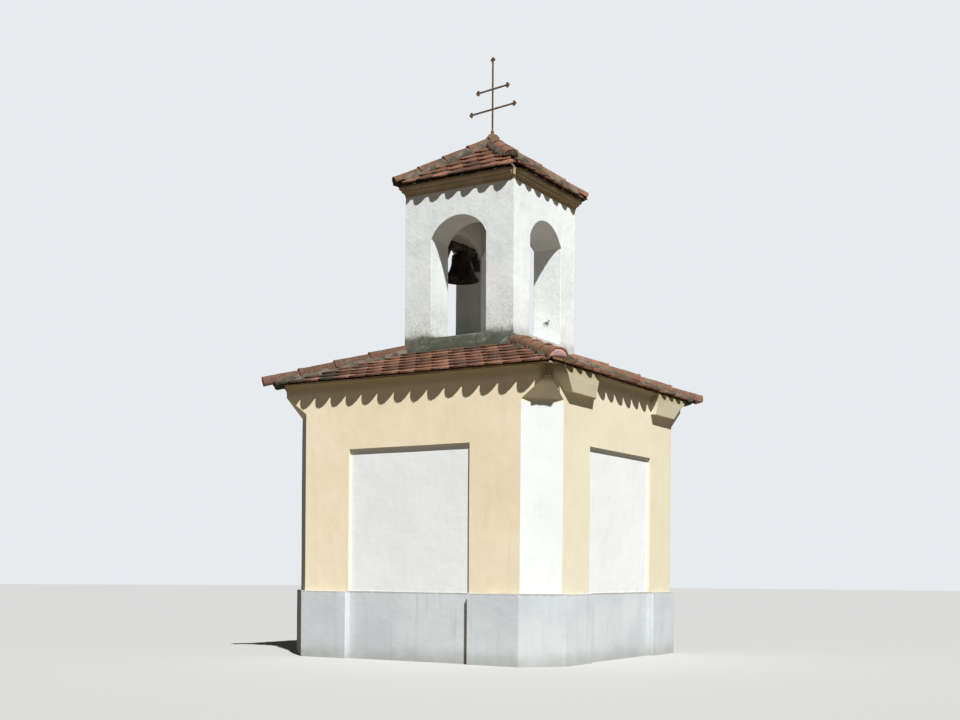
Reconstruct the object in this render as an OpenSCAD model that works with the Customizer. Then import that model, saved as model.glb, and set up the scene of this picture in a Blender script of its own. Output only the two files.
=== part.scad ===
// Small masonry bell tower: a square panelled body with chamfered corners, a tiled
// skirt roof, an open belfry with four arches and a tiled cap carrying an iron cross.
// The front faces -Y and the right side faces +X. The origin is the middle of the
// footprint at the lowest ground, so the walls already run down to it.

/* [Body] */
// Width and depth of the body between its wall faces
body_w = 2840; // [2760:10:2900]
// Thickness of the body walls
wall_t = 400; // [350:10:420]
// Leg of the chamfer on each corner
chamfer = 265; // [230:5:290]
// Height of the plinth above the lowest ground
plinth_h = 615; // [500:5:750]
// How far the plinth stands out from the wall
plinth_out = 38; // [25:1:60]
// Height at which the white chamfer ends
pier_top_z = 2235; // [2150:5:2290]
// Height of the masonry top, where the eaves start
wall_top_z = 2528; // [2500:2:2560]

/* [Niches] */
// Width of the shallow niche in each wall
niche_w = 1300; // [1150:10:1400]
// Height of the niche head
niche_top_z = 1912; // [1800:4:2000]
// Depth of the niche
niche_depth = 50; // [40:2:70]
// Thickness of the white render on the back of the niche
panel_t = 12; // [8:1:20]

/* [Capitals and cove] */
// Height of the plain neck between the white chamfer and a capital
neck_h = 25; // [10:5:60]
// Height at which a capital has flared out almost square
capital_z = 2430; // [2400:5:2450]
// Chamfer leg left at the head of a capital
capital_head_chamfer = 30; // [20:5:60]
// Height of the underside of the blocks on the right face
block_z = 2335; // [2300:5:2360]
// How far a block stands out at its underside
block_foot_out = 55; // [40:1:65]
// How far a block stands out under the eaves
block_head_out = 95; // [80:1:105]
// Radius of the cove under the eaves
cove_r = 62; // [40:2:70]

/* [Skirt roof] */
// How far the eaves stand out from the wall
eave_out = 125; // [115:1:160]
// Thickness of the tiles at the eaves
eave_t = 38; // [30:1:50]
// Height at which the tiles meet the belfry
skirt_top_z = 2930; // [2900:2:2960]
// How much the eaves are cut back at the front right corner, along either side
eave_cut = 150; // [110:5:190]
// Radius of the round hip tiles
hip_r = 92; // [80:1:100]
// How far a hip row runs past the eaves
hip_past = 24; // [10:2:40]

/* [Belfry] */
// Width and depth of the belfry
belfry_w = 1216; // [1180:4:1250]
// Width of each belfry opening
opening_w = 610; // [598:2:630]
// Height of the belfry floor
sill_z = 3032; // [3020:2:3060]
// Height where the arches spring
spring_z = 3974; // [3966:2:4000]
// Rise of each arch
arch_rise = 186; // [176:2:200]
// Height of the belfry wall top
belfry_top_z = 4410; // [4390:5:4450]

/* [Cap roof] */
// Height of the lower cornice tier
tier_low_h = 60; // [50:2:70]
// Height of the upper cornice tier
tier_high_h = 40; // [34:2:50]
// How far the lower tier stands out
tier_low_out = 28; // [20:2:36]
// How far the upper tier stands out
tier_high_out = 48; // [42:2:58]
// How much the cornice is cut back at the front right corner, along either side
cornice_cut = 80; // [60:5:95]
// How far the cap tiles stand out from the belfry wall
cap_out = 104; // [92:2:116]
// Thickness of the cap tiles at the eaves
cap_eave_t = 34; // [26:1:40]
// Height of the cap roof from its eaves to its peak
cap_rise = 530; // [500:2:570]
// How much the cap is cut back at the front right corner, along either side
cap_cut = 120; // [90:5:150]
// Distance from the axis, along either side, at which the front right hip row of the cap ends
cap_hip_near = 520; // [480:5:580]
// Radius of the round hip tiles of the cap
cap_hip_r = 74; // [64:2:84]
// Height of the mortar collar above the peak
collar_rise = 62; // [50:2:80]

/* [Cross] */
// Height of the cross above the collar
cross_h = 760; // [680:10:840]
// Span of the lower arms
cross_low_span = 590; // [540:10:640]
// Span of the upper arms
cross_high_span = 420; // [380:10:460]
// Width of the iron bars
cross_bar = 16; // [12:1:20]
// Turn of the cross out of line with the front
cross_turn = -8; // [-15:1:15]

/* [Bell] */
// Diameter of the bell at its mouth
bell_d = 366; // [330:2:380]
// Height of the bell from mouth to shoulder
bell_h = 262; // [240:2:264]
// Height of the mouth of the bell
bell_mouth_z = 3702; // [3690:2:3704]
// Distance of the bell from the axis of the tower
bell_from_axis = 352; // [346:1:365]
// Diameter of the gudgeon pins
gudgeon_d = 22; // [18:1:26]
// Length of the headstock
headstock_l = 420; // [400:5:424]

/* [Hidden] */
$fn = 64;

over = 1;                              // extra length of a cutting shape

// Body
body_half = body_w / 2;
inner_half = body_half - wall_t;       // half the hollow inside the body
niche_half = niche_w / 2;
plinth_half = body_half + plinth_out;
stand_out_chamfer = 2 - sqrt(2);       // chamfer leg gained for each unit of stand-out
plinth_chamfer = chamfer + plinth_out * stand_out_chamfer;
slab_t = 200;                          // slab that closes the body under the roof
flare_z = pier_top_z + neck_h;
head_half = body_half - capital_head_chamfer;
lip = 8;                               // upright edge at the foot and head of a flare

// Skirt roof
eave_half = body_half + eave_out;
belfry_half = belfry_w / 2;
eave_top_z = wall_top_z + eave_t;
skirt_slope = (skirt_top_z - eave_top_z) / (eave_half - belfry_half);
hip_sunk = 22;                         // depth of a hip row's axis below the hip line

// Belfry
opening_half = opening_w / 2;
pier_w = belfry_half - opening_half;   // a belfry pier is square in plan
arch_lip = 2;                          // ledge where an arch springs from a pier
arch_half = opening_half - arch_lip;
arch_r = (arch_half * arch_half + arch_rise * arch_rise) / (2 * arch_rise);

// Cap
cornice_top_z = belfry_top_z + tier_low_h + tier_high_h;
cap_half = belfry_half + cap_out;
peak_z = cornice_top_z + cap_rise;
cap_eave_z = cornice_top_z + cap_eave_t;
cap_slope = (peak_z - cap_eave_z) / cap_half;
collar_r = 60;
collar_z = peak_z + collar_rise;
tier_edge = 14;                        // upright edge at the top of the lower tier
tier_ease_h = 10;                      // the upper tier's lower edge is eased in two facets
tier_ease_out = 6;
cove_steps = 5;                        // facets in the cove of the lower tier

// Cross, as shares of its height and as multiples of its bar
cross_low_at = 0.325;
cross_high_at = 0.585;
cross_t = 10;
lobe_share = 0.85;                     // lobe radius over bar width
lobe_r = cross_bar * lobe_share;
foot_r = 17;
foot_h = 30;

// Bell
crown_h = 16;                          // from the shoulder to the headstock
crown_r = 42;
crown_seat_r = 30;                     // flat inside the crown, where the clapper hangs
bell_wall = 13;
bell_top_t = 18;
waist = 0.52;                          // waist radius over mouth radius
flare = 2.4;                           // how late the bell flares out
bell_steps = 14;
clapper_r = 27;
shank_r = 8;
clapper_drop = 24;                     // how far the clapper hangs below the mouth

// Headstock and its irons
headstock_w = 84;
headstock_t = 76;
headstock_z = bell_mouth_z + bell_h + crown_h;
pivot_rise = 26;                       // from the headstock's underside to the gudgeons
pivot_z = headstock_z + pivot_rise;
end_plate_t = 6;
end_plate_side = 10;                   // wood left bare beside an end plate
end_plate_rise = 8;                    // wood left bare above and below it
running_gap = 0.05;                    // radial clearance of a gudgeon in its eye
side_gap = 15;                         // between an end plate and an eye
eye_t = 28;
eye_in = headstock_l / 2 + end_plate_t + side_gap;
eye_out = eye_in + eye_t;
eye_cap = 13;                          // iron above the gudgeon
bearing_w = 64;
bearing_top_gap = 12;                  // from a wall iron up to the springing
bearing_top_z = spring_z - bearing_top_gap;
bearing_h = 110;
bearing_foot_z = bearing_top_z - bearing_h;
bearing_arm = 34;                      // depth of iron below the gudgeon
plate_t = 12;
gudgeon_proud = 8;                     // how far a gudgeon shows past its eye
gudgeon_l = side_gap + eye_t + gudgeon_proud;

white = "ghostwhite";
ochre = "wheat";
stone = "darkgray";
tile = "rosybrown";
iron = "dimgray";
oak = "saddlebrown";
bronze = "darkolivegreen";

// Outline of a square with chamfered corners
module chamfered_square(half, leg) {
    polygon([
        for (side = [0:3])
            for (x = [leg - half, half - leg])
                [x * cos(90 * side) + half * sin(90 * side),
                 x * sin(90 * side) - half * cos(90 * side)]
    ]);
}

// Outline of a square whose front right corner is cut off
module cut_square(half, cut) {
    polygon([
        [-half, -half], [half - cut, -half], [half, cut - half], [half, half], [-half, half]
    ]);
}

// Shape whose profile, given for y and z, is the same seen from the front and the side
module square_mass(profile, reach) {
    intersection_for (turn = [0, 90])
        rotate([0, 0, turn])
            rotate([90, 0, 90])
                translate([0, 0, -reach])
                    linear_extrude(2 * reach)
                        polygon(profile);
}

// Half-round row laid down a hip of the front right corner, its upper end at half_top
module hip_row(half_top, z_top, half_low, z_low, r, past) {
    run = (half_low - half_top) * sqrt(2);
    fall = z_top - z_low;
    slope = atan2(fall, run);
    rotate([0, 0, -45])
        translate([half_top * sqrt(2), 0, z_top])
            rotate([0, slope, 0])
                translate([0, 0, -hip_sunk])
                    rotate([0, 90, 0])
                        rotate([0, 0, 180])
                            intersection() {
                                cylinder(h = norm([run, fall]) + past, r = r);
                                translate([0, -r, -over])
                                    cube([r, 2 * r, norm([run, fall]) + past + 2 * over]);
                            }
}

module plinth_side(turn) {
    mid = plinth_half - plinth_chamfer / 2;
    flat = plinth_half - plinth_chamfer;
    color(stone)
        rotate([0, 0, turn])
            difference() {
                linear_extrude(plinth_h)
                    polygon([
                        [-mid, -mid], [-flat, -plinth_half], [flat, -plinth_half], [mid, -mid],
                        [inner_half, -inner_half], [-inner_half, -inner_half]
                    ]);
                translate([-niche_half, -plinth_half - over, -over])
                    cube([niche_w, niche_depth + over, plinth_h + 2 * over]);
            }
}

// One wall with its niche; the cove under its eaves is 2 * cove_half long
module wall_side(turn, cove_half) {
    flat = body_half - chamfer;
    color(ochre)
        rotate([0, 0, turn])
            difference() {
                union() {
                    translate([0, 0, plinth_h])
                        linear_extrude(pier_top_z - plinth_h)
                            polygon([
                                [-flat, -body_half], [flat, -body_half],
                                [inner_half, -inner_half], [-inner_half, -inner_half]
                            ]);
                    translate([-niche_half, -body_half, pier_top_z])
                        cube([niche_w, wall_t, wall_top_z - pier_top_z]);
                    translate([-cove_half, -body_half - cove_r, wall_top_z - cove_r])
                        cube([2 * cove_half, cove_r, cove_r]);
                }
                translate([-cove_half - over, -body_half - cove_r, wall_top_z - cove_r])
                    rotate([0, 90, 0])
                        cylinder(h = 2 * (cove_half + over), r = cove_r);
                translate([-niche_half, -body_half - over, plinth_h - over])
                    cube([niche_w, niche_depth + panel_t + over, niche_top_z - plinth_h + over]);
            }
}

module niche_panel(turn) {
    color(white)
        rotate([0, 0, turn])
            translate([-niche_half, -body_half + niche_depth, plinth_h])
                cube([niche_w, panel_t, niche_top_z - plinth_h]);
}

module corner_pier(turn) {
    color(white)
        rotate([0, 0, turn])
            translate([0, 0, plinth_h])
                linear_extrude(pier_top_z - plinth_h)
                    polygon([
                        [body_half - chamfer, -body_half], [body_half, chamfer - body_half],
                        [inner_half, -inner_half]
                    ]);
}

// Plaster block that stands out from the right face of a capital, from the niche's line to
// the chamfer's own plane
module capital_block() {
    hull()
        for (level = [[block_z, block_foot_out, chamfer],
                      [wall_top_z - lip, block_head_out, capital_head_chamfer]])
            translate([0, 0, level[0]])
                linear_extrude(lip)
                    polygon([
                        [inner_half, -niche_half], [body_half + level[1], -niche_half],
                        [body_half + level[1], level[1] + level[2] - body_half],
                        [body_half, level[2] - body_half], [inner_half, level[2] - body_half]
                    ]);
}

// Corner capital, flaring from the chamfer to an almost square head. Its first or second
// face may carry a block.
module capital(turn, block_on = "none") {
    color(ochre)
        rotate([0, 0, turn]) {
            intersection() {
                union() {
                    translate([0, 0, pier_top_z])
                        linear_extrude(neck_h + lip)
                            chamfered_square(body_half, chamfer);
                    hull() {
                        translate([0, 0, flare_z])
                            linear_extrude(lip)
                                chamfered_square(body_half, chamfer);
                        translate([0, 0, capital_z])
                            linear_extrude(wall_top_z - capital_z)
                                chamfered_square(body_half, capital_head_chamfer);
                    }
                }
                translate([0, 0, pier_top_z - over])
                    linear_extrude(wall_top_z - pier_top_z + 2 * over)
                        polygon([
                            [niche_half, -inner_half], [niche_half, -body_half - over],
                            [body_half + over, -body_half - over],
                            [body_half + over, -niche_half], [inner_half, -niche_half],
                            [inner_half, -inner_half]
                        ]);
            }
            if (block_on == "first")
                mirror([1, 1, 0])
                    capital_block();
            if (block_on == "second")
                capital_block();
        }
}

module ceiling_slab() {
    color(white)
        translate([-inner_half, -inner_half, wall_top_z - slab_t])
            cube([2 * inner_half, 2 * inner_half, slab_t]);
}

// The whole tiled skirt, with its mortar bed, as one mass
module skirt_mass() {
    intersection() {
        square_mass([
            [-eave_half, wall_top_z], [-eave_half, eave_top_z],
            [-belfry_half, skirt_top_z], [belfry_half, skirt_top_z],
            [eave_half, eave_top_z], [eave_half, wall_top_z]
        ], eave_half);
        translate([0, 0, wall_top_z - over])
            linear_extrude(skirt_top_z - wall_top_z + 2 * over)
                cut_square(eave_half, eave_cut);
    }
}

module skirt_side(turn) {
    color(tile)
        intersection() {
            skirt_mass();
            rotate([0, 0, turn])
                translate([0, 0, wall_top_z - over])
                    linear_extrude(skirt_top_z - wall_top_z + 2 * over)
                        polygon([
                            [-eave_half, -eave_half], [eave_half, -eave_half],
                            [belfry_half, -belfry_half], [-belfry_half, -belfry_half]
                        ]);
            }
}

module skirt_hip_tiles() {
    color(tile)
        difference() {
            for (turn = [0, 90, 180, 270])
                rotate([0, 0, turn])
                    hip_row(belfry_half - hip_r, skirt_top_z + hip_r * skirt_slope,
                            eave_half, eave_top_z, hip_r, hip_past);
            skirt_mass();
            translate([-belfry_half, -belfry_half, wall_top_z])
                cube([belfry_w, belfry_w, belfry_top_z - wall_top_z]);
        }
}

module belfry_base() {
    color(white)
        translate([-belfry_half, -belfry_half, wall_top_z])
            cube([belfry_w, belfry_w, sill_z - wall_top_z]);
}

module belfry_pier(turn) {
    color(white)
        rotate([0, 0, turn])
            translate([opening_half, -belfry_half, sill_z])
                cube([pier_w, pier_w, belfry_top_z - sill_z]);
}

module belfry_arch(turn) {
    color(white)
        rotate([0, 0, turn])
            difference() {
                translate([-opening_half, -belfry_half, spring_z])
                    cube([opening_w, pier_w, belfry_top_z - spring_z]);
                translate([0, -opening_half + over, spring_z + arch_rise - arch_r])
                    rotate([90, 0, 0])
                        cylinder(h = pier_w + 2 * over, r = arch_r);
            }
}

// Two tiers, each hollowed to a cove below a plain edge, cut from one slab
module belfry_cornice() {
    low = belfry_half + tier_low_out;
    high = belfry_half + tier_high_out;
    mid_z = belfry_top_z + tier_low_h;
    facet = 90 / cove_steps;
    half_profile = [
        [belfry_half, belfry_top_z],
        for (step = [1:cove_steps])
            [belfry_half + tier_low_out * (1 - cos(facet * step)),
             belfry_top_z + (tier_low_h - tier_edge) * sin(facet * step)],
        [low, mid_z],
        [high - tier_ease_out, mid_z + tier_ease_h],
        [high, mid_z + 2 * tier_ease_h],
        [high, cornice_top_z]
    ];
    color(ochre)
        intersection() {
            square_mass([
                for (point = half_profile)
                    point,
                for (i = [len(half_profile) - 1:-1:0])
                    [-half_profile[i][0], half_profile[i][1]]
            ], high);
            translate([0, 0, belfry_top_z - over])
                linear_extrude(cornice_top_z - belfry_top_z + 2 * over)
                    cut_square(high, cornice_cut);
        }
}

module cap_mass() {
    intersection() {
        square_mass([
            [-cap_half, cornice_top_z], [-cap_half, cap_eave_z],
            [0, peak_z],
            [cap_half, cap_eave_z], [cap_half, cornice_top_z]
        ], cap_half);
        translate([0, 0, cornice_top_z - over])
            linear_extrude(cap_rise + 2 * over)
                cut_square(cap_half, cap_cut);
    }
}

module cap_roof() {
    color(tile)
        cap_mass();
}

module cap_hip_tiles() {
    color(tile)
        difference() {
            union() {
                for (turn = [0, 90, 180, 270]) {
                    foot_half = turn == 0 ? cap_hip_near : cap_half;
                    rotate([0, 0, turn])
                        hip_row(0, peak_z, foot_half,
                                cap_eave_z + (cap_half - foot_half) * cap_slope,
                                cap_hip_r, 0);
                }
                translate([0, 0, peak_z - cap_hip_r])
                    cylinder(h = collar_z - peak_z + cap_hip_r, r = collar_r);
            }
            cap_mass();
        }
}

// Three lobes at the end of a bar that points along +X
module trefoil() {
    for (turn = [-90, 0, 90])
        rotate(turn)
            translate([lobe_r, 0])
                circle(lobe_r, $fn = 24);
}

module cross_arm(span, z) {
    translate([-span / 2 + lobe_r, z - cross_bar / 2])
        square([span - 2 * lobe_r, cross_bar]);
    for (side = [0, 1])
        mirror([side, 0])
            translate([span / 2 - 2 * lobe_r, z])
                trefoil();
}

module cross() {
    color(iron)
        translate([0, 0, collar_z])
            rotate([0, 0, cross_turn]) {
                cylinder(h = foot_h, r = foot_r);
                translate([0, cross_t / 2, 0])
                    rotate([90, 0, 0])
                        linear_extrude(cross_t) {
                            translate([-cross_bar / 2, foot_h - over])
                                square([cross_bar, cross_h - foot_h - 2 * lobe_r + over]);
                            translate([0, cross_h - 2 * lobe_r])
                                rotate(90)
                                    trefoil();
                            cross_arm(cross_low_span, cross_h * cross_low_at);
                            cross_arm(cross_high_span, cross_h * cross_high_at);
                        }
            }
}

// Wall iron whose eye carries a gudgeon, on the jamb that faces +Y of the left opening
module bell_bearing(side) {
    color(iron)
        mirror([0, side, 0])
            difference() {
                translate([-bell_from_axis - bearing_w / 2, 0, 0])
                    rotate([90, 0, 90])
                        linear_extrude(bearing_w)
                            polygon([
                                [-opening_half, bearing_foot_z],
                                [-opening_half, bearing_top_z],
                                [-eye_out, bearing_top_z],
                                [-eye_out, pivot_z + gudgeon_d / 2 + eye_cap],
                                [-eye_in, pivot_z + gudgeon_d / 2 + eye_cap],
                                [-eye_in, pivot_z - gudgeon_d / 2 - bearing_arm],
                                [-opening_half + plate_t, bearing_foot_z]
                            ]);
                translate([-bell_from_axis, -eye_out - over, pivot_z])
                    rotate([-90, 0, 0])
                        cylinder(h = eye_t + 2 * over, r = gudgeon_d / 2 + running_gap);
            }
}

module headstock() {
    color(oak)
        translate([-bell_from_axis - headstock_w / 2, -headstock_l / 2, headstock_z])
            cube([headstock_w, headstock_l, headstock_t]);
}

module gudgeons() {
    plate_w = headstock_w - 2 * end_plate_side;
    plate_h = headstock_t - 2 * end_plate_rise;
    color(iron)
        for (side = [0, 1])
            mirror([0, side, 0])
                translate([-bell_from_axis, headstock_l / 2, 0]) {
                    translate([-plate_w / 2, 0, headstock_z + end_plate_rise])
                        cube([plate_w, end_plate_t, plate_h]);
                    translate([0, end_plate_t - over, pivot_z])
                        rotate([-90, 0, 0])
                            cylinder(h = gudgeon_l + over, r = gudgeon_d / 2);
                }
}

// Outer radius of the bell at a share t of its height
function bell_r(t) = bell_d / 2 * (waist + (1 - waist) * pow(1 - t, flare));

module bell() {
    color(bronze)
        translate([-bell_from_axis, 0, bell_mouth_z])
            rotate_extrude()
                polygon([
                    for (i = [0:bell_steps])
                        [bell_r(i / bell_steps), (bell_h - crown_r / 2) * i / bell_steps],
                    for (angle = [30:30:90])
                        [crown_r + (bell_r(1) - crown_r) * cos(angle),
                         bell_h - crown_r / 2 * (1 - sin(angle))],
                    [crown_r, bell_h + crown_h],
                    [0, bell_h + crown_h],
                    [0, bell_h - bell_top_t],
                    [crown_seat_r, bell_h - bell_top_t],
                    for (i = [bell_steps - 2:-1:0])
                        [bell_r(i / bell_steps) - bell_wall,
                         (bell_h - crown_r / 2) * i / bell_steps]
                ]);
}

module clapper() {
    color(iron)
        translate([-bell_from_axis, 0, bell_mouth_z - clapper_drop + clapper_r]) {
            sphere(clapper_r, $fn = 32);
            cylinder(h = bell_h - bell_top_t + clapper_drop - clapper_r, r = shank_r);
        }
}

plinth_side(0);  // plinth_front
plinth_side(90);  // plinth_right
plinth_side(180);  // plinth_back
plinth_side(270);  // plinth_left
wall_side(0, head_half);  // wall_front
wall_side(90, niche_half);  // wall_right
wall_side(180, head_half);  // wall_back
wall_side(270, head_half);  // wall_left
niche_panel(0);  // panel_front
niche_panel(90);  // panel_right
niche_panel(180);  // panel_back
niche_panel(270);  // panel_left
corner_pier(0);  // corner_front_right
corner_pier(90);  // corner_back_right
corner_pier(180);  // corner_back_left
corner_pier(270);  // corner_front_left
capital(0, "second");  // capital_front_right
capital(90, "first");  // capital_back_right
capital(180);  // capital_back_left
capital(270);  // capital_front_left
ceiling_slab();
skirt_side(0);  // skirt_roof_front
skirt_side(90);  // skirt_roof_right
skirt_side(180);  // skirt_roof_back
skirt_side(270);  // skirt_roof_left
skirt_hip_tiles();
belfry_base();
belfry_pier(0);  // belfry_pier_front_right
belfry_pier(90);  // belfry_pier_back_right
belfry_pier(180);  // belfry_pier_back_left
belfry_pier(270);  // belfry_pier_front_left
belfry_arch(0);  // belfry_arch_front
belfry_arch(90);  // belfry_arch_right
belfry_arch(180);  // belfry_arch_back
belfry_arch(270);  // belfry_arch_left
belfry_cornice();
cap_roof();
cap_hip_tiles();
cross();
bell_bearing(0);  // bell_bearing_front
bell_bearing(1);  // bell_bearing_back
headstock();
gudgeons();
bell();
clapper();
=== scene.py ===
import collections
import math
import random

import bmesh
import bpy
from mathutils import Matrix, Vector, noise


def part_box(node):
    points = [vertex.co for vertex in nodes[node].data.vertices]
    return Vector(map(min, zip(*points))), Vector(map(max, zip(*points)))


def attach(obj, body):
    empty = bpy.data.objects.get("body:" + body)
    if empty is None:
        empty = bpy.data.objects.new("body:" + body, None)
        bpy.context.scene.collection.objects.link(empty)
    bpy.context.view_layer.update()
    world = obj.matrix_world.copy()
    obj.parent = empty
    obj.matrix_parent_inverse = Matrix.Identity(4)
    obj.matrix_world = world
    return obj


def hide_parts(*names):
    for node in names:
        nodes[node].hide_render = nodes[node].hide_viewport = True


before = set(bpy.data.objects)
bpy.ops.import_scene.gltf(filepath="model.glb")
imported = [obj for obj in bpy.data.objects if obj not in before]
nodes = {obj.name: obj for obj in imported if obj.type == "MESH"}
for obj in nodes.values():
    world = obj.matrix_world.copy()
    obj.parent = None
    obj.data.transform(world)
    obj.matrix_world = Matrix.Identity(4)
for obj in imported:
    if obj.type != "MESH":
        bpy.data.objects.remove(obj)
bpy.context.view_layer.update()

# Plinth
# Cement render over the footing, painted light grey, one length to each side. It steps back
# under each niche. Rain has streaked it, and splashes have dirtied its foot.


class Shade:
    """A value in a finish. Arithmetic on it adds Math nodes."""

    def __init__(self, finish, output):
        self.finish = finish
        self.output = output

    def math(self, operation, *values):
        return self.finish.node("ShaderNodeMath", {"operation": operation},
                                dict(enumerate(values)))

    def __add__(self, other):
        return self.math("ADD", self, other)

    def __sub__(self, other):
        return self.math("SUBTRACT", self, other)

    def __rsub__(self, other):
        return self.math("SUBTRACT", other, self)

    def __mul__(self, other):
        return self.math("MULTIPLY", self, other)

    def __abs__(self):
        return self.math("ABSOLUTE", self)


class Recipe:
    """The nodes of a finish or of the surround, made in the order in which they are mixed."""

    def __init__(self, tree):
        self.tree = tree
        self.tree.nodes.clear()

    def node(self, kind, settings=None, values=None, out=0):
        """Adds a node: its settings come first, then the values or links of its sockets."""
        node = self.tree.nodes.new(kind)
        for name, value in (settings or {}).items():
            setattr(node, name, value)
        for name, value in (values or {}).items():
            if isinstance(value, Shade):
                self.tree.links.new(value.output, node.inputs[name])
            elif isinstance(value, tuple) and node.inputs[name].type == "RGBA":
                node.inputs[name].default_value = (*value, 1)
            else:
                node.inputs[name].default_value = value
        return Shade(self, node.outputs[out]) if node.outputs else None


class Finish(Recipe):
    """One procedural finish of a surface, placed by the object's own coordinates."""

    def __init__(self, name):
        self.material = bpy.data.materials.new(name)
        self.material.use_nodes = True
        super().__init__(self.material.node_tree)
        self.place = self.node("ShaderNodeTexCoord", out="Object")
        self.x, self.y, self.z = (self.node("ShaderNodeSeparateXYZ", {}, {0: self.place}, axis)
                                  for axis in range(3))

    def noise(self, scale, detail=3, roughness=0.55, stretch=(1, 1, 1), shift=0):
        place = self.node("ShaderNodeMapping", {}, {"Vector": self.place, "Scale": stretch,
                                                    "Location": (shift, shift, shift)})
        return self.node("ShaderNodeTexNoise", {}, {"Vector": place, "Scale": scale,
                                                    "Detail": detail, "Roughness": roughness})

    def fade(self, value, low, high):
        """0 where the value is at low, 1 where it is at high, smooth between."""
        return self.node("ShaderNodeMapRange", {"interpolation_type": "SMOOTHSTEP"},
                         {"Value": value, "From Min": low, "From Max": high})

    def painted(self, name):
        """A value that is painted on the points of the mesh."""
        return self.node("ShaderNodeAttribute", {"attribute_name": name}, out="Fac")

    def mix(self, first, second, share, blend="MIX"):
        """Two colours mixed: the Mix node has them at its sockets 6 and 7, and gives output 2."""
        return self.node("ShaderNodeMix", {"data_type": "RGBA", "blend_type": blend},
                         {0: share, 6: first, 7: second}, out=2)

    def finish(self, colour, roughness, relief, metallic=0.0, specular=0.35):
        """Relief is in metres."""
        normal = self.node("ShaderNodeBump", {}, {"Distance": 1.0, "Height": relief})
        shader = self.node("ShaderNodeBsdfPrincipled", {},
                           {"Base Color": colour, "Roughness": roughness, "Metallic": metallic,
                            "Specular IOR Level": specular, "Normal": normal})
        self.node("ShaderNodeOutputMaterial", {}, {"Surface": shader})
        return self.material


def add_piece(name, shape, finish, crease=38):
    """Turns a bmesh into a piece with smooth faces, and sharp arrises that bend by at least
    crease degrees."""
    mesh = bpy.data.meshes.new(name)
    bmesh.ops.recalc_face_normals(shape, faces=shape.faces)
    for face in shape.faces:
        face.smooth = True
    for edge in shape.edges:
        edge.smooth = edge.calc_face_angle(0) < math.radians(crease)
    shape.to_mesh(mesh)
    shape.free()
    mesh.materials.append(finish)
    piece = bpy.data.objects.new(name, mesh)
    bpy.context.scene.collection.objects.link(piece)
    return piece


def even_normals(piece):
    piece.modifiers.new("even_normals", "WEIGHTED_NORMAL").keep_sharp = True


def whole_faces(source):
    """The mesh of a CAD solid, with the triangles of each flat face joined."""
    shape = bmesh.new()
    shape.from_mesh(nodes[source].data)
    bmesh.ops.remove_doubles(shape, verts=shape.verts, dist=2e-5)
    bmesh.ops.dissolve_limit(shape, angle_limit=math.radians(1), verts=shape.verts,
                             edges=shape.edges)
    return shape


# Plaster, mortar and hip tiles drift by this field, the same each time
noise.seed_set(1713)


def cast(source, cell, radius=0, soft=None, drift=(0.0025, 0.0008), wear=None):
    """A CAD solid in plaster: cut into a grid of cells, its arrises rounded where soft(point)
    says so, each point moved by wear(point), and all of it let drift a little, broadly and
    finely, by a field in space, so that neighbours still meet."""
    shape = whole_faces(source)
    bmesh.ops.connect_verts_concave(shape, faces=shape.faces)
    for axis in range(3):
        marks = collections.Counter(round(v.co[axis], 4) for v in shape.verts)
        planes = sorted(at for at, count in marks.items() if count > 2)
        across = Vector([axis == i for i in range(3)])
        for low, high in zip(planes, planes[1:]):
            cells = math.ceil((high - low) / cell)
            for step in range(1, cells):
                bmesh.ops.bisect_plane(
                    shape, geom=shape.verts[:] + shape.edges[:] + shape.faces[:], dist=1e-6,
                    plane_co=across * (low + (high - low) * step / cells), plane_no=across)
    if radius:
        arris = [e for e in shape.edges
                 if len(e.link_faces) == 2 and e.calc_face_angle_signed(0) > math.radians(32)
                 and soft((e.verts[0].co + e.verts[1].co) / 2)]
        bmesh.ops.bevel(shape, geom=arris, offset=radius, segments=3, profile=0.5,
                        affect="EDGES", clamp_overlap=False)
    broad, fine = drift
    for v in shape.verts:
        grounded = v.co.z < 0.001
        v.co += (noise.noise_vector(v.co * 1.3) * broad
                 + noise.noise_vector(v.co * 6) * fine
                 + (wear(v.co) if wear else Vector()))
        if grounded:
            v.co.z = 0
    return shape


sides = ("front", "right", "back", "left")
plinth_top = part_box("plinth_front")[1].z
plinth_half = -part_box("plinth_front")[0].y
plinth_chamfer = 2 * plinth_half - 0.287   # |x| + |y| on the plane of each chamfer
plinth_arris = 0.009                       # radius of its arrises
plaster_cell = 0.055                       # grid that lets the plaster drift

cool_grey, pale_grey = (0.535, 0.565, 0.575), (0.65, 0.675, 0.675)
rain_streak, foot_dirt = (0.45, 0.47, 0.475), (0.285, 0.285, 0.235)
bare_cement, plinth_chamfer_painted_shade = (0.36, 0.335, 0.29), (0.84, 0.84, 0.835)

paint = Finish("grey_painted_render")
cloud = paint.noise(1.7, 4)
streak = paint.noise(2.6, 4, stretch=(7, 7, 0.5))
grain = paint.noise(130, 3, 0.6)
damp = paint.fade(paint.z + paint.noise(5, 4) * 0.16, 0.24, 0.06)
chipped = paint.fade(paint.z + paint.noise(22, 3) * 0.028, plinth_top - 0.006, plinth_top + 0.008)
chamfered = paint.fade(abs(paint.x) + abs(paint.y), plinth_chamfer - 0.007, plinth_chamfer + 0.001)
colour = paint.mix(cool_grey, pale_grey, paint.fade(cloud, 0.3, 0.7))
colour = paint.mix(colour, rain_streak, paint.fade(streak, 0.52, 0.78) * 0.45)
colour = paint.mix(colour, foot_dirt, damp * 0.5)
colour = paint.mix(colour, bare_cement, chipped * 0.75)
# Painted shade: the chamfers of the plinth are made a little darker than its faces.
colour = paint.mix(colour, plinth_chamfer_painted_shade, chamfered, "MULTIPLY")
relief = grain * 0.0007 + paint.noise(17, 4) * 0.0014 + paint.fade(cloud, 0.3, 0.7) * 0.002
plinth_finish = paint.finish(colour, 0.82, relief)


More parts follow.
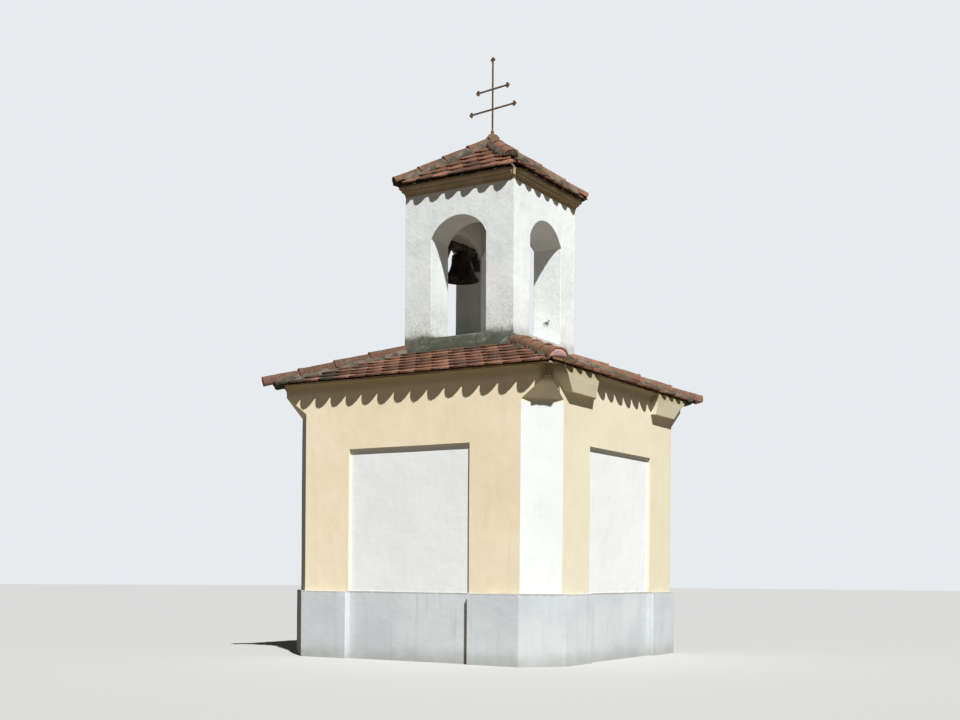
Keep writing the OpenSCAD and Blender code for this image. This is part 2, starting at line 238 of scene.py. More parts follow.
def plinth_soft(p):
    """The arrises of the projecting faces, but not the foot or the cut between two sides."""
    across, outwards = sorted((abs(p.x), abs(p.y)))
    return outwards > plinth_half - 0.006 and outwards - across > 0.004 and p.z > 0.01


for side in sides:
    shape = cast(f"plinth_{side}", plaster_cell, plinth_arris, plinth_soft)
    piece = add_piece(f"plinth_render_{side}", shape, plinth_finish)
    even_normals(piece)
    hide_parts(f"plinth_{side}")
    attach(piece, "tower")

# Walls
# Brick and rubble rendered with lime plaster and painted pale ochre, with a shallow niche in
# each side and a cove run along the top. Rain splash has left a little dirt. Shade is painted
# under the eaves, over the flare of the near capital and on the right and back sides.

wall_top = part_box("wall_front")[1].z
cove_half = -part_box("wall_front")[0].y     # how far the cove reaches
painted_shade_from = 2 * cove_half - 0.24           # x - y where painted shade begins on the near capital

deep_ochre, pale_ochre = (0.815, 0.695, 0.475), (0.875, 0.765, 0.545)
trowel_mark, drip_stain = (0.75, 0.63, 0.425), (0.68, 0.59, 0.42)
eaves_painted_shade, corner_painted_shade = (0.34, 0.265, 0.12), (0.29, 0.22, 0.105)
wall_splash, right_and_back_painted_shade = (0.62, 0.54, 0.38), (0.91, 0.955, 1.0)

lime = Finish("ochre_lime_plaster")
cloud = lime.noise(1.1, 5, 0.6)
trowel = lime.noise(9, 4, stretch=(1, 1, 0.6))
grain = lime.noise(240, 2, 0.6)
drip = lime.noise(3.2, 4, stretch=(6, 6, 0.35))
eaves_shade_mask = lime.fade(lime.z + lime.noise(3, 4) * 0.04, wall_top - 0.1, wall_top + 0.01)
near_corner_shade = lime.fade(lime.x - lime.y, painted_shade_from, painted_shade_from + 0.08)
splash = lime.fade(lime.z + lime.noise(7, 4) * 0.13, plinth_top + 0.13, plinth_top + 0.02)
right_and_back_side = lime.fade(lime.x + lime.y, -0.04, 0.04)
colour = lime.mix(deep_ochre, pale_ochre, lime.fade(cloud, 0.32, 0.68))
colour = lime.mix(colour, trowel_mark, lime.fade(trowel, 0.5, 0.8) * 0.4)
colour = lime.mix(colour, drip_stain, lime.fade(drip, 0.55, 0.8) * 0.3)
# Painted shade: darker towards the top, in the cove under the eaves.
colour = lime.mix(colour, eaves_painted_shade, eaves_shade_mask * 0.75)
# Painted shade: darker over the flare of the near capital.
colour = lime.mix(colour, corner_painted_shade, near_corner_shade * 0.88)
colour = lime.mix(colour, wall_splash, splash * 0.5)
# Painted shade: the right and back sides are made a little darker and less yellow.
colour = lime.mix(colour, right_and_back_painted_shade, right_and_back_side, "MULTIPLY")
relief = grain * 0.0005 + trowel * 0.0028 + cloud * 0.003
ochre_finish = lime.finish(colour, 0.86, relief)

for side in sides:
    piece = add_piece(f"wall_plaster_{side}", cast(f"wall_{side}", plaster_cell), ochre_finish)
    even_normals(piece)
    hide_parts(f"wall_{side}")
    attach(piece, "tower")

# Niche panels and chamfered corners
# The same lime plaster limewashed white: a panel on the back of each niche, and the chamfer
# of each corner from the plinth to the capital. Many coats have made the niches shallow.

panel_face = -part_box("panel_front")[0].y
panel_coats = 0.025                        # how thick the coats of limewash stand on it
niche_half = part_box("panel_front")[1].x
chamfer_from = cove_half + niche_half      # |x| + |y| between the panels and the chamfers

cool_white, lime_white = (0.78, 0.79, 0.77), (0.84, 0.845, 0.83)
brush_mark, white_splash = (0.71, 0.725, 0.71), (0.58, 0.575, 0.51)
white_chamfer_painted_shade = (0.825, 0.835, 0.825)

wash = Finish("white_limewash")
cloud = wash.noise(1.4, 5, 0.6, shift=4)
brush = wash.noise(16, 3, stretch=(1, 1, 0.3))
grain = wash.noise(260, 2, 0.6)
splash = wash.fade(wash.z + wash.noise(8, 4) * 0.13, plinth_top + 0.12, plinth_top + 0.02)
chamfered = wash.fade(abs(wash.x) + abs(wash.y), chamfer_from + 0.1, chamfer_from + 0.3)
colour = wash.mix(cool_white, lime_white, wash.fade(cloud, 0.3, 0.7))
colour = wash.mix(colour, brush_mark, wash.fade(brush, 0.5, 0.85) * 0.4)
colour = wash.mix(colour, white_splash, splash * 0.5)
# Painted shade: the chamfers are made a little darker than the panels.
colour = wash.mix(colour, white_chamfer_painted_shade, chamfered, "MULTIPLY")
relief = grain * 0.0005 + brush * 0.0012 + wash.noise(5, 4) * 0.004
white_finish = wash.finish(colour, 0.84, relief)


def coats(p):
    """Brings the outer face of a panel forward by its coats of limewash."""
    if abs(max(abs(p.x), abs(p.y)) - panel_face) > 0.002:
        return Vector()
    out = Vector((p.x, 0, 0)) if abs(p.x) > abs(p.y) else Vector((0, p.y, 0))
    return out.normalized() * panel_coats


for node in [n for n in nodes if n.startswith(("panel_", "corner_"))]:
    shape = cast(node, plaster_cell, wear=coats if node.startswith("panel_") else None)
    piece = add_piece(f"{node}_limewash", shape, white_finish)
    even_normals(piece)
    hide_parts(node)
    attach(piece, "tower")

# Capitals and ceiling slab
# Run in plaster on each corner: a plain neck, then a flare from the chamfer to an almost
# square head under the eaves, with a block on the right face. The slab closes the body.

pier_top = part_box("corner_front_right")[1].z
block_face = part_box("capital_front_right")[1].x
capital_cell, capital_arris = 0.05, 0.005
rubbed_back = 0.016                        # of the upper rim of the blocks on the right side


def rim_wear(p):
    return Vector((-rubbed_back, 0, 0)) if p.x > block_face - 0.003 else Vector()


def capital_soft(p):
    """The arrises of head and block that stand out past the cove."""
    across, outwards = sorted((abs(p.x), abs(p.y)))
    return (outwards > cove_half - 0.003 and across > niche_half + 0.01
            and pier_top + 0.01 < p.z < wall_top - 0.002)


for corner in ("front_right", "back_right", "back_left", "front_left"):
    shape = cast(f"capital_{corner}", capital_cell, capital_arris, capital_soft, wear=rim_wear)
    piece = add_piece(f"capital_plaster_{corner}", shape, ochre_finish, crease=24)
    even_normals(piece)
    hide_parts(f"capital_{corner}")
    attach(piece, "tower")


def dress(node, finish):
    """Gives a CAD solid that shows as it is its finish."""
    nodes[node].data.materials.clear()
    nodes[node].data.materials.append(finish)


dress("ceiling_slab", white_finish)

# Skirt roof
# Plain clay tiles with round tails, hung in courses with broken joints on battens over a
# mortar bed. Each is a little out of line, and lichen and soot have darkened many of them.

tile_pitch = 0.18                          # from one tile to the next along a course
tile_width = 0.1755
tile_thick = 0.017
tile_length = 0.38
short_tile = 0.2                           # length of the tiles of the course under the eaves
short_back = 0.062                         # how far that course is set back up the slope
tail_rise = 0.05                           # how far the round tail stands past its shoulders
tail_radius = ((tile_width / 2) ** 2 + tail_rise ** 2) / (2 * tail_rise)
camber = 0.0022                            # how much lower a tile's edges are than its middle
slope_gap = 0.012                          # half the gap left between two slopes of tiles
root2 = math.sqrt(2)

dark_clay, red_clay, light_clay = (0.067, 0.026, 0.014), (0.178, 0.071, 0.037), (0.26, 0.116, 0.071)
tile_soot, clay_speck = (0.074, 0.040, 0.025), (0.26, 0.116, 0.061)
tile_lichen, black_moss = (0.163, 0.134, 0.093), (0.027, 0.026, 0.017)

clay = Finish("weathered_clay_tile")
tone = clay.painted("tone")
blotch = clay.noise(14, 5, 0.65)
speck = clay.noise(95, 3, 0.7)
crust = clay.noise(33, 5, 0.7, shift=7)
grown = clay.fade(clay.painted("moss") + crust * 0.9, 0.78, 1.08)
colour = clay.mix(dark_clay, red_clay, clay.fade(tone, 0.1, 0.6))
colour = clay.mix(colour, light_clay, clay.fade(tone, 0.72, 0.98))
colour = clay.mix(colour, tile_soot, clay.fade(blotch, 0.42, 0.62) * 0.75)
colour = clay.mix(colour, clay_speck, clay.fade(speck, 0.54, 0.72) * 0.55)
colour = clay.mix(colour, tile_lichen, clay.fade(crust, 0.55, 0.66) * 0.65)
colour = clay.mix(colour, black_moss, grown)
relief = speck * 0.0025 + crust * 0.0035 + grown * 0.005
tile_finish = clay.finish(colour, 0.88, relief)

dark_mortar, grey_mortar, pale_grit = (0.085, 0.070, 0.050), (0.165, 0.140, 0.105), (0.22, 0.195, 0.15)
clay_dust, mortar_moss = (0.15, 0.078, 0.050), (0.034, 0.036, 0.022)

bed = Finish("rough_mortar")
lump = bed.noise(19, 5, 0.65)
grit = bed.noise(120, 3, 0.7)
dusty = bed.fade(bed.noise(38, 4, shift=8), 0.5, 0.62)
growth = bed.noise(7, 5, 0.65, shift=3)
colour = bed.mix(dark_mortar, grey_mortar, bed.fade(lump, 0.35, 0.7))
colour = bed.mix(colour, pale_grit, bed.fade(grit, 0.55, 0.75) * 0.5)
colour = bed.mix(colour, clay_dust, dusty * 0.6)
colour = bed.mix(colour, mortar_moss, bed.fade(growth, 0.42, 0.58) * 0.85)
mortar_finish = bed.finish(colour, 0.93, lump * 0.006 + grit * 0.0016)

deep_tan, pale_tan, tan_scuff = (0.34, 0.255, 0.155), (0.47, 0.365, 0.23), (0.23, 0.18, 0.115)

tan = Finish("tan_eaves_plaster")
cloud = tan.noise(3, 5, 0.6)
scuff = tan.noise(21, 5, 0.65)
grain = tan.noise(150, 2, 0.6)
colour = tan.mix(deep_tan, pale_tan, tan.fade(cloud, 0.3, 0.68))
colour = tan.mix(colour, tan_scuff, tan.fade(scuff, 0.5, 0.72) * 0.6)
eaves_finish = tan.finish(colour, 0.88, grain * 0.0008 + scuff * 0.005)

chance = random.Random(1713)


def add_tile(shape, place, length, cuts, moss):
    """One tile, its tail at the origin of place, cut off by planes: (a point, outwards)."""
    tone_layer, moss_layer = (shape.verts.layers.float[name] for name in ("tone", "moss"))
    half = tile_width / 2
    columns = [half * math.sin(math.pi / 2 * i / 4) for i in range(-4, 5)]
    worn = [chance.uniform(0, 0.003) for _ in columns]
    tail = [tail_radius - math.sqrt(tail_radius ** 2 - x * x) + w for x, w in zip(columns, worn)]
    bow = chance.uniform(-0.001, 0.003)
    rows = []
    # Distance from the tail, and how far the arris is eased there
    for t, eased in ((0, 0.003), (0.008, 0), (0.12, 0), (length * 0.65, 0), (length, 0)):
        rows.append([])
        for i, x in enumerate(columns):
            y = tail[i] + t * (1 - tail[i] / length)
            edge = 0.0022 if i in (0, len(columns) - 1) else 0
            z = -camber * (x / half) ** 2 - bow * (y / length - 0.5) ** 2 * 4 - max(eased, edge)
            rows[-1].append((x, y, z))
    rows.append([(x, y, z - tile_thick) for x, y, z in rows[-1]])
    rows.append([(x, y, -tile_thick - camber * (x / half) ** 2) for x, y in zip(columns, tail)])
    grid = [[shape.verts.new(place @ Vector(p)) for p in row] for row in rows]
    tint = chance.random()
    for row in grid:
        for v in row:
            v[tone_layer] = tint
            v[moss_layer] = moss
    faces = []
    for first, second in zip(grid, grid[1:] + grid[:1]):
        for i in range(len(columns) - 1):
            faces.append(shape.faces.new((first[i], first[i + 1], second[i + 1], second[i])))
    for i in (0, -1):
        faces.append(shape.faces.new([row[i] for row in grid]))
    verts = [v for row in grid for v in row]
    edges = list({e for f in faces for e in f.edges})
    geometry = verts + edges + faces
    for point, outward in cuts:
        if all(outward.dot(v.co - point) < 0 for v in geometry
               if isinstance(v, bmesh.types.BMVert)):
            continue
        cut = bmesh.ops.bisect_plane(shape, geom=geometry, dist=1e-6, plane_co=point,
                                     plane_no=outward, clear_outer=True)
        rim = [e for e in cut["geom_cut"] if isinstance(e, bmesh.types.BMEdge)]
        geometry = [g for g in cut["geom"] if g.is_valid]
        if rim:
            geometry += bmesh.ops.edgeloop_fill(shape, edges=rim)["faces"]
        if not geometry:
            return


def tile_slope(name, side, half, tail_z, top_half, top_z, courses, joint_at, moss_of, corner_cut):
    """A slope of tiles: the tails' top edges lie on the plane from the eaves to the top. The
    front right corner is cut back by two lengths, along the front and along the right."""
    turn = Matrix.Rotation(math.pi / 2 * side, 4, "Z")
    along, back = corner_cut
    cuts = [(Vector((half - along, -half, 0)), Vector((back, -along, 0)).normalized())]
    for across in (1, -1):
        outward = (turn @ Vector((across, 1, 0))).normalized()
        cuts.append((outward * -slope_gap, outward))
    run, rise = half - top_half, top_z - tail_z
    pitch = math.atan2(rise, run)
    gauge = math.hypot(run, rise) / courses
    lean = math.atan(tile_thick / gauge)
    shape = bmesh.new()
    shape.verts.layers.float.new("tone")
    shape.verts.layers.float.new("moss")
    for course in range(-1, courses):
        # Course -1 is the short course under the eaves, set back behind the tails
        up = gauge * course if course >= 0 else short_back
        sunk = 0 if course >= 0 else tile_thick + 0.001
        length = tile_length if course >= 0 else short_tile
        first = joint_at + tile_pitch / 2 * (1 + course % 2)
        reach = half - up * math.cos(pitch)
        count = math.ceil(reach / tile_pitch) + 2
        for j in range(-count, count):
            x = first + tile_pitch * (j - round(first / tile_pitch)) + chance.uniform(-1, 1) * 0.002
            slip = chance.uniform(-0.003, 0.004)
            yaw, roll = chance.gauss(0, 0.007), chance.gauss(0, 0.008)
            lift = chance.uniform(-0.002, 0)
            if abs(x) - tile_width / 2 > reach:
                continue
            y = -half + (up + slip) * math.cos(pitch)
            z = tail_z + (up + slip) * math.sin(pitch)
            place = (turn @ Matrix.Translation((x, y, z)) @ Matrix.Rotation(pitch - lean, 4, "X")
                     @ Matrix.Translation((0, 0, lift - sunk)) @ Matrix.Rotation(yaw, 4, "Z")
                     @ Matrix.Rotation(roll, 4, "Y"))
            add_tile(shape, place, length, cuts, moss_of(side, x, course / courses))
    piece = add_piece(name, shape, tile_finish, crease=30)
    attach(piece, "tower")
    return piece


def skirt_moss(side, x, share):
    """Moss and soot: most on the front's left and in the courses nearest the belfry."""
    near_wall = max(0, share - 0.75) * 1.1
    left = 0.24 if side == 0 and x < -0.75 else 0.0
    return 0.1 + near_wall + left + chance.uniform(0, 0.22)


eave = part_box("skirt_roof_front")
eave_half = -eave[0].y
belfry_half = -eave[1].y
skirt_top = eave[1].z
skirt_tail_z = wall_top + 0.034            # the top edge of the lowest tails
skirt_cut = 2 * (eave_half - eave[1].x)    # each leg of the cut at the front right corner
skirt_courses = 7
skirt_joints = (0.117, -0.045, 0.03, 0.06)  # a joint on each side, from the side's middle
for side, name in enumerate(sides):
    piece = tile_slope(f"skirt_tiles_{name}", side, half=eave_half, tail_z=skirt_tail_z,
                       top_half=belfry_half, top_z=skirt_top, courses=skirt_courses,
                       joint_at=skirt_joints[side], moss_of=skirt_moss,
                       corner_cut=(skirt_cut, skirt_cut))
    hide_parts(f"skirt_roof_{name}")


def join_loops(shape, loops):
    """Faces from each closed loop of points to the next."""
    count = len(loops[0])
    for first, second in zip(loops, loops[1:]):
        for i in range(count):
            j = (i + 1) % count
            shape.faces.new((first[i], first[j], second[j], second[i]))


def close_loops(shape, loops):
    """The same, with a face over each end."""
    join_loops(shape, loops)
    shape.faces.new(loops[0])
    shape.faces.new(loops[-1])


def mortar_bed(name, rings, finish, corner_reach):
    """Square rings of half width and height, joined from the lowest outer one inwards. The
    front right corner reaches no farther than x - y = corner_reach."""
    points = 40
    shape = bmesh.new()
    loops = []
    for half, z in rings:
        loops.append([])
        for side in range(4):
            turn = Matrix.Rotation(math.pi / 2 * side, 3, "Z")
            for i in range(points):
                p = turn @ Vector((half * (2 * i / points - 1), -half, z))
                back = max(0, p.x - p.y - corner_reach) / 2
                p += Vector((-back, back, 0)) + noise.noise_vector(p * 17) * 0.004
                loops[-1].append(shape.verts.new(p))
    close_loops(shape, loops)
    piece = add_piece(name, shape, finish)
    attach(piece, "tower")


mortar_bed("skirt_bed",
           [(cove_half - 0.182, wall_top + 0.002), (cove_half, wall_top + 0.003),
            (cove_half + 0.002, wall_top + 0.014), (cove_half - 0.062, wall_top + 0.03),
            (belfry_half, skirt_top - 0.065), (belfry_half - 0.208, skirt_top - 0.065)],
           eaves_finish, 2 * eave_half - skirt_cut - 0.02)

# Hip tiles of the skirt roof
# Tapered half-round tiles, laid from the eaves up with each over the head of the one below,
# bedded in mortar. Their lips are bright, and pink mortar stops the end of each row.

dark_hip, red_hip, hip_soot = (0.123, 0.048, 0.026), (0.238, 0.104, 0.062), (0.090, 0.054, 0.033)
hip_speck, hip_lichen = (0.30, 0.108, 0.050), (0.156, 0.131, 0.090)
bright_lip, left_hips_painted_shade = (0.30, 0.118, 0.056), (0.62, 0.62, 0.60)

burnt = Finish("red_clay_hip_tile")
tone = burnt.painted("tone")
lip = burnt.painted("lip")
blotch = burnt.noise(11, 5, 0.65, shift=2)
speck = burnt.noise(90, 3, 0.7)
crust = burnt.noise(24, 5, 0.7, shift=9)
colour = burnt.mix(dark_hip, red_hip, burnt.fade(tone, 0.1, 0.9))
colour = burnt.mix(colour, hip_soot, burnt.fade(blotch, 0.42, 0.62) * 0.75)
colour = burnt.mix(colour, hip_speck, burnt.fade(speck, 0.5, 0.66) * 0.65)
colour = burnt.mix(colour, hip_lichen, burnt.fade(crust, 0.48, 0.6) * (1 - lip) * 0.8)
colour = burnt.mix(colour, bright_lip, burnt.fade(lip + speck * 0.6, 0.85, 1.35) * 0.55)
# Painted shade: the hip tiles towards the left are darkened.
colour = burnt.mix(colour, left_hips_painted_shade, burnt.fade(burnt.x, 0.1, -0.3), "MULTIPLY")
hip_finish = burnt.finish(colour, 0.85, speck * 0.0028 + crust * 0.005)

pink_mortar, pale_pink, pink_grit = (0.40, 0.225, 0.20), (0.56, 0.34, 0.31), (0.24, 0.155, 0.13)

pink = Finish("pink_hip_mortar")
lump = pink.noise(45, 4, 0.65)
grit = pink.noise(150, 3, 0.7)
colour = pink.mix(pink_mortar, pale_pink, pink.fade(lump, 0.35, 0.65))
colour = pink.mix(colour, pink_grit, pink.fade(grit, 0.55, 0.75) * 0.5)
pink_finish = pink.finish(colour, 0.93, lump * 0.004 + grit * 0.001)

HipTile = collections.namedtuple("HipTile", "length low_radius high_radius thick")
Bedding = collections.namedtuple("Bedding", "half_width crown back")
hip_spread = 1.5                           # half the arc of a hip tile, in radians
hip_arc = [hip_spread * (i / 8 - 1) for i in range(17)]
hip_sunk = 0.022                           # how deep the tiles sit in their bedding
bedding_step = 0.022                       # from one section of the bedding to the next


def add_hip_tile(shape, place, tile):
    """A tapered half-round tile with a thickened lip, its low end at the origin, up along +Y."""
    tone_layer, lip_layer = (shape.verts.layers.float[name] for name in ("tone", "lip"))
    tint = chance.random()
    # Distance up the tile, how far its outside swells there, and how bright its lip is
    stations = [(0, -0.004, 1), (0.003, 0.0, 1), (0.014, 0.0, 0.7), (0.021, -0.003, 0.1)]
    stations += [(y, -0.003, 0) for y in (0.06, 0.11, 0.16, 0.22, tile.length)]
    loops = []
    for y, swell, bright in stations:
        radius = tile.low_radius + (tile.high_radius - tile.low_radius) * y / tile.length
        outer, inner = radius + swell, radius - tile.thick
        loop = [(outer * math.sin(a), y, outer * math.cos(a)) for a in hip_arc]
        loop += [(inner * math.sin(a), y, inner * math.cos(a)) for a in reversed(hip_arc)]
        loops.append([shape.verts.new(place @ Vector(p)) for p in loop])
        for v in loops[-1]:
            v.co += noise.noise_vector(v.co * 14) * 0.0035 + noise.noise_vector(v.co * 45) * 0.0012
            v[tone_layer] = tint
            v[lip_layer] = bright
    join_loops(shape, loops)
    last = 2 * len(hip_arc) - 1
    for loop in (loops[0], loops[-1]):
        for i in range(len(hip_arc) - 1):
            shape.faces.new((loop[i], loop[i + 1], loop[last - 1 - i], loop[last - i]))


def add_stopper(shape, place, radius):
    """The mortar that fills the open end of the lowest tile, pressed in by hand."""
    outline = [(radius * math.sin(a), radius * math.cos(a)) for a in hip_arc]
    outline += [(radius * share, 0.003) for share in (0.5, 0, -0.5)]
    middle = radius * 0.4
    loops = []
    # From deep inside the tile to the pressed face, which is smaller and bulges a little
    for share, y in ((1, 0.12), (1, 0.006), (0.72, 0.0), (0.4, -0.003)):
        loops.append([])
        for x, z in outline:
            p = place @ Vector((x * share, y, (z - middle) * share + middle))
            loops[-1].append(shape.verts.new(p + noise.noise_vector(p * 40) * 0.002))
    close_loops(shape, loops)


def hip_axes(corner, top, low, astray):
    """Down and up along a hip in its vertical plane, its length, and the turn to its corner.
    top and low are (distance out, height), and the plane may be astray from the diagonal."""
    fall = Vector((low[0] - top[0], 0, low[1] - top[1]))
    down = fall.normalized()
    up = Vector((-down.z, 0, down.x))
    return down, up, fall.length, Matrix.Rotation(math.pi / 2 * (corner - 0.5) + astray, 4, "Z")


def hip_line(shape, stoppers, corner, top, low, count, tile, astray):
    """Tiles along one hip, from the lowest up, with a stopper in the lowest."""
    down, up, length, outward = hip_axes(corner, top, low, astray)
    basis = Matrix((down.cross(up) * -1, -down, up)).transposed().to_4x4()
    for k in range(count):
        at = Vector((low[0], 0, low[1])) - down * (length / count * k) - up * hip_sunk
        wobble = Matrix.Rotation(chance.gauss(0, 0.012) if k else 0, 4, "Z")
        tip = Matrix.Rotation(chance.gauss(0, 0.02) if k else 0, 4, "Y")
        place = outward @ Matrix.Translation(at) @ basis @ wobble @ tip
        slimmer = chance.uniform(0, 0.002) if k else 0
        add_hip_tile(shape, place, tile._replace(low_radius=tile.low_radius - slimmer))
        if k == 0:
            add_stopper(stoppers, place, tile.low_radius - tile.thick + 0.001)


def hip_bedding(name, corner, top, low, bedding, astray):
    """The mortar that shows along both sides of a hip row."""
    down, up, length, outward = hip_axes(corner, top, low, astray)
    half_width, crown, drop = bedding.half_width, bedding.crown, 0.055
    section = [(-1, -drop), (-0.95, -drop * 0.55), (-0.78, -0.004), (-0.5, crown * 0.7),
               (0, crown), (0.5, crown * 0.7), (0.78, -0.004), (0.95, -drop * 0.55), (1, -drop),
               (0.6, -drop * 1.5), (-0.6, -drop * 1.5)]
    count = round(length / bedding_step)
    shape = bmesh.new()
    loops = []
    for k in range(count + 1):
        at = Vector((top[0], 0, top[1])) + down * (length * k / count)
        shrink = 0.82 if k == count else 1
        loops.append([])
        for a, b in section:
            side = 1 if a > 0 else -1
            swell = 1 + 0.16 * noise.noise((outward @ at + Vector((0, 0, side))) * 9)
            p = outward @ (at + Vector((0, half_width * a * swell * shrink, 0)) + up * b * shrink)
            loops[-1].append(shape.verts.new(p + noise.noise_vector(p * 23) * 0.005))
    close_loops(shape, loops)
    piece = add_piece(name, shape, mortar_finish, crease=60)
    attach(piece, "tower")


def hip_rows(roof, top, lows, pitch, counts, stopper_finish, tile, bedding, astray=(0, 0, 0, 0)):
    """The four hip rows of a roof. The end of the bedding stands back from the row's."""
    shape = bmesh.new()
    shape.verts.layers.float.new("tone")
    shape.verts.layers.float.new("lip")
    stoppers = bmesh.new()
    for corner, low in enumerate(lows):
        hip_line(shape, stoppers, corner, top, low, counts[corner], tile, astray[corner])
    piece = add_piece(f"{roof}_hip_stoppers", stoppers, stopper_finish)
    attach(piece, "tower")
    piece = add_piece(f"{roof}_hip_row", shape, hip_finish, crease=40)
    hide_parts(f"{roof}_hip_tiles")
    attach(piece, "tower")
    for corner, low in enumerate(lows):
        end = (low[0] - bedding.back * math.cos(pitch), low[1] + bedding.back * math.sin(pitch))
        hip_bedding(f"{roof}_hip_bedding_{corner}", corner, top, end, bedding, astray[corner])


hip_past = 0.024                           # how far a row ends past the tails of the slopes
near_hip_short = 0.131                     # how far the near row ends short of the corner
near_hip_astray = 0.03                     # and how far off the diagonal it runs, in radians
skirt_pitch = math.atan2(skirt_top - skirt_tail_z, (eave_half - belfry_half) * root2)
skirt_lows = []
for short_by in (near_hip_short, 0, 0, 0):
    skirt_lows.append((eave_half * root2 - short_by + hip_past * math.cos(skirt_pitch),
                       skirt_tail_z + short_by * math.tan(skirt_pitch)
                       - hip_past * math.sin(skirt_pitch)))
hip_rows("skirt", top=(belfry_half * root2, skirt_top), lows=skirt_lows, pitch=skirt_pitch,
         counts=(4, 4, 4, 4), stopper_finish=pink_finish,
         tile=HipTile(length=0.42, low_radius=0.0918, high_radius=0.074, thick=0.0125),
         bedding=Bedding(half_width=0.1, crown=0.03, back=0.1),
         astray=(near_hip_astray, 0, 0, 0))

# Belfry
# Four square piers, four segmental arches and a solid base, plastered and limewashed white
# long ago: rougher than the body, with green and grey dirt that rises from its foot.

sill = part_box("belfry_base")[1].z
belfry_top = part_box("belfry_arch_front")[1].z
opening_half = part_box("belfry_arch_front")[1].x
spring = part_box("belfry_arch_front")[0].z
putlog_hole = (0.455, opening_half, 3.25)  # where a dark patch is painted as the shade in a small hole in the jamb of the right opening
belfry_cell, belfry_arris = 0.05, 0.004

grey_wash, clean_wash = (0.76, 0.785, 0.76), (0.85, 0.87, 0.85)
wash_scuff, wash_run, front_and_left_painted_shade = (0.66, 0.665, 0.64), (0.60, 0.60, 0.56), (0.90, 0.90, 0.89)
rising_damp, ragged_moss, foot_moss = (0.36, 0.365, 0.30), (0.105, 0.11, 0.075), (0.065, 0.065, 0.045)
hole_painted_shade = (0.09, 0.075, 0.055)

old = Finish("old_belfry_limewash")
cloud = old.noise(2.2, 5, 0.65, shift=1)
scuff = old.noise(11, 5, 0.65, stretch=(1, 1, 0.7))
grain = old.noise(170, 2, 0.6)
stipple = old.noise(60, 3, 0.7)
run = old.noise(7, 5, 0.6, stretch=(5, 5, 0.45))
# This mask marks the right and back sides: the front and left get painted shade from it, and damp, moss
# and foot dirt are fainter on the right and back.
right_and_back_side = old.fade(old.x + old.y, -0.02, 0.02)
rising = old.fade(old.z + old.noise(4.5, 5, 0.65) * 0.8, sill + 0.85, sill + 0.25)
damp = rising * old.fade(stipple, 0.4, 0.6) * (1 - right_and_back_side * 0.75)
foot = old.fade(old.z + old.noise(8, 5, 0.65) * 0.22, sill + 0.16, sill + 0.03)
ragged = foot * old.fade(old.noise(21, 4), 0.35, 0.6) * (1 - right_and_back_side * 0.6)
edge = old.fade(old.z + old.noise(9, 5) * 0.1 + stipple * 0.03, sill + 0.12, sill + 0.045)
from_hole = old.node("ShaderNodeVectorMath", {"operation": "DISTANCE"},
                     {0: old.place, 1: putlog_hole}, out="Value")
colour = old.mix(grey_wash, clean_wash, old.fade(cloud, 0.3, 0.66))
colour = old.mix(colour, wash_scuff, old.fade(scuff, 0.52, 0.75) * 0.35)
colour = old.mix(colour, wash_run, old.fade(run, 0.58, 0.8) * 0.25)
# Painted shade: the front and left sides are made a little darker.
colour = old.mix(colour, front_and_left_painted_shade, 1 - right_and_back_side, "MULTIPLY")
colour = old.mix(colour, rising_damp, damp * 0.85)
colour = old.mix(colour, ragged_moss, ragged * 0.85)
colour = old.mix(colour, foot_moss, edge * (1 - right_and_back_side * 0.7) * 0.85)
# Painted shade: a dark patch for the inside of a small hole in the jamb.
colour = old.mix(colour, hole_painted_shade, old.fade(from_hole + stipple * 0.14, 0.1, 0.088) * 0.9)
relief = grain * 0.0006 + scuff * 0.005 + cloud * 0.006 + stipple * 0.0012
belfry_finish = old.finish(colour, 0.88, relief)


def belfry_soft(p):
    """Outer corners and the edges of the openings, but no joint between two solids."""
    inner, outer = sorted((abs(p.x), abs(p.y)))
    corner = inner > belfry_half - 0.004
    jamb = opening_half - 0.006 < inner < opening_half + 0.004 and outer > opening_half - 0.004
    on_jamb = jamb and sill + 0.002 < p.z < spring - 0.03
    face = abs(outer - belfry_half) < 0.004 or abs(outer - opening_half) < 0.004
    on_rim = face and inner < opening_half - 0.02
    return (corner or on_jamb or on_rim) and wall_top + 0.05 < p.z < belfry_top - 0.01


for node in [n for n in nodes if n.startswith("belfry_") and n != "belfry_cornice"]:
    shape = cast(node, belfry_cell, belfry_arris, belfry_soft, drift=(0.005, 0.002))
    piece = add_piece(f"{node}_plaster", shape, belfry_finish, crease=15)
    even_normals(piece)
    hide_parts(node)
    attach(piece, "tower")

# Fillets at the foot of the belfry
# Mortar pressed into the angle between the tiles and the belfry to keep the rain out. It is
# dark with moss, and slighter on the right.

fillet_dark, fillet_grey = (0.075, 0.072, 0.052), (0.165, 0.155, 0.12)
fillet_moss, fillet_grit = (0.034, 0.038, 0.024), (0.20, 0.19, 0.13)

fillet = Finish("mossy_fillet")
lump = fillet.noise(26, 5, 0.65)
grit = fillet.noise(110, 3, 0.7)
growth = fillet.noise(8, 5, 0.7, shift=5)
colour = fillet.mix(fillet_dark, fillet_grey, fillet.fade(lump, 0.35, 0.65))
colour = fillet.mix(colour, fillet_moss, fillet.fade(growth, 0.30, 0.48) * 0.92)
colour = fillet.mix(colour, fillet_grit, fillet.fade(grit, 0.6, 0.75) * 0.4)
fillet_finish = fillet.finish(colour, 0.95, lump * 0.008 + grit * 0.002)

